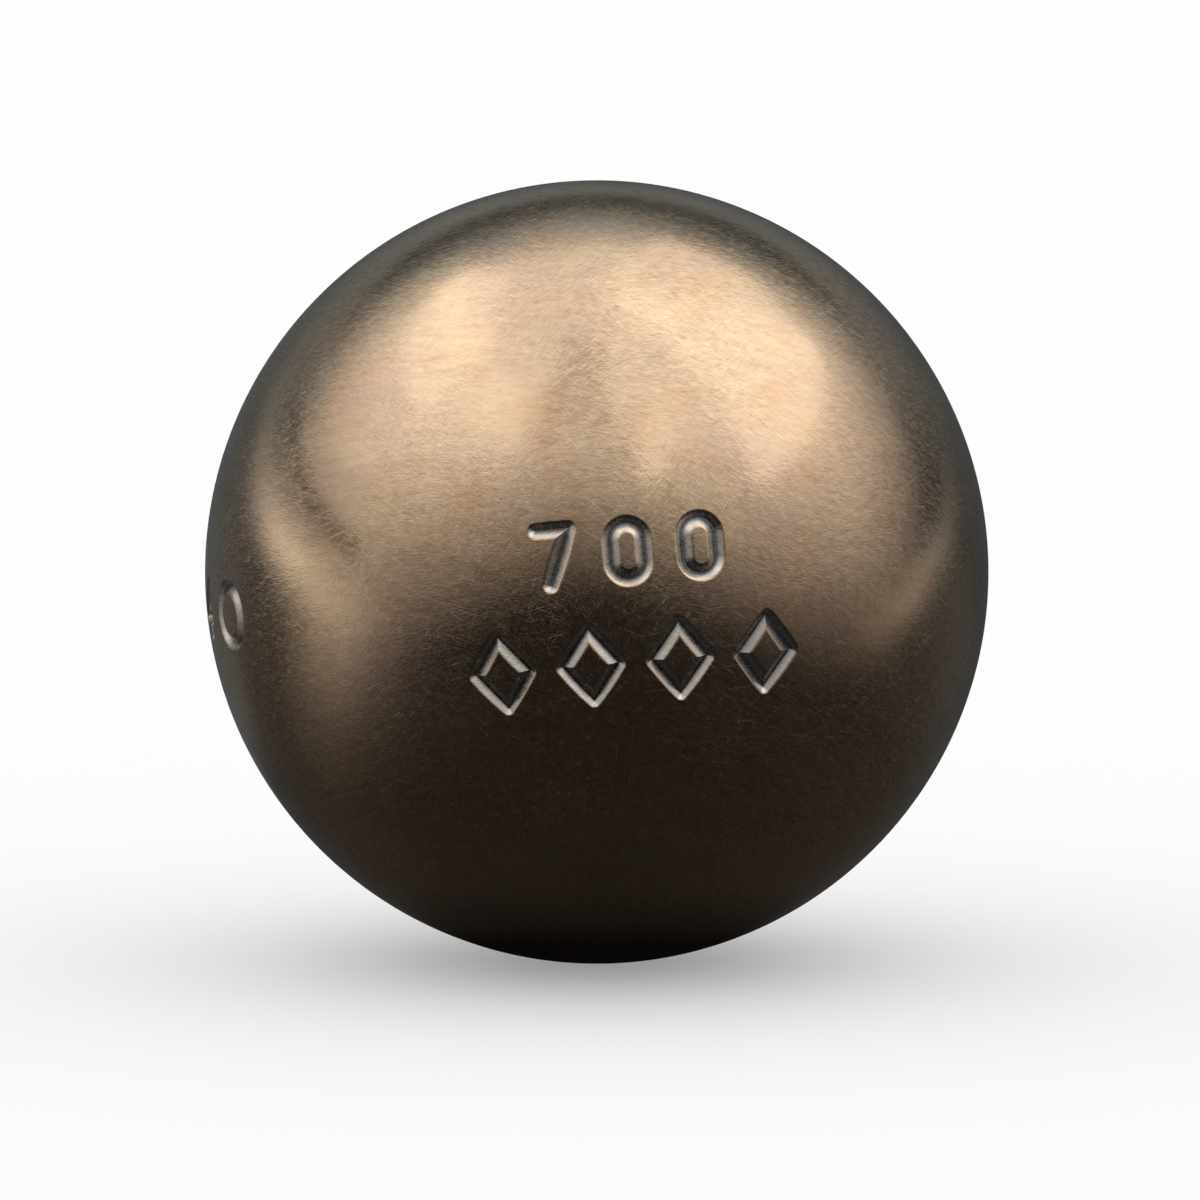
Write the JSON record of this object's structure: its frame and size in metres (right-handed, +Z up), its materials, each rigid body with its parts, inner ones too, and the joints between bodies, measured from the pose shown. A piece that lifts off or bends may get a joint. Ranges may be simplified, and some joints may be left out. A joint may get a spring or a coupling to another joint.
{
  "type": "petanque boule",
  "caption": "Hollow steel petanque ball: half shells with bevelled rims, welded flush at the seam, with stamped numerals, lozenges and rings in a satin scratched surface.",
  "frame": {"origin": "centre of the ball", "axes": "+Z up, the front marks face -Y, and +X is to the right seen from the front"},
  "size_m": [0.074, 0.074, 0.074],
  "materials": {
    "shell_steel": "satin ground steel with a warm tone and fine random scratches",
    "weld_steel": "weld metal ground flush and polished with the shells outside, rough inside"
  },
  "bodies": {
    "root": {"front_half_shell": "shell_steel", "rear_half_shell": "shell_steel", "weld_bead": "weld_steel"}
  },
  "joints": []
}
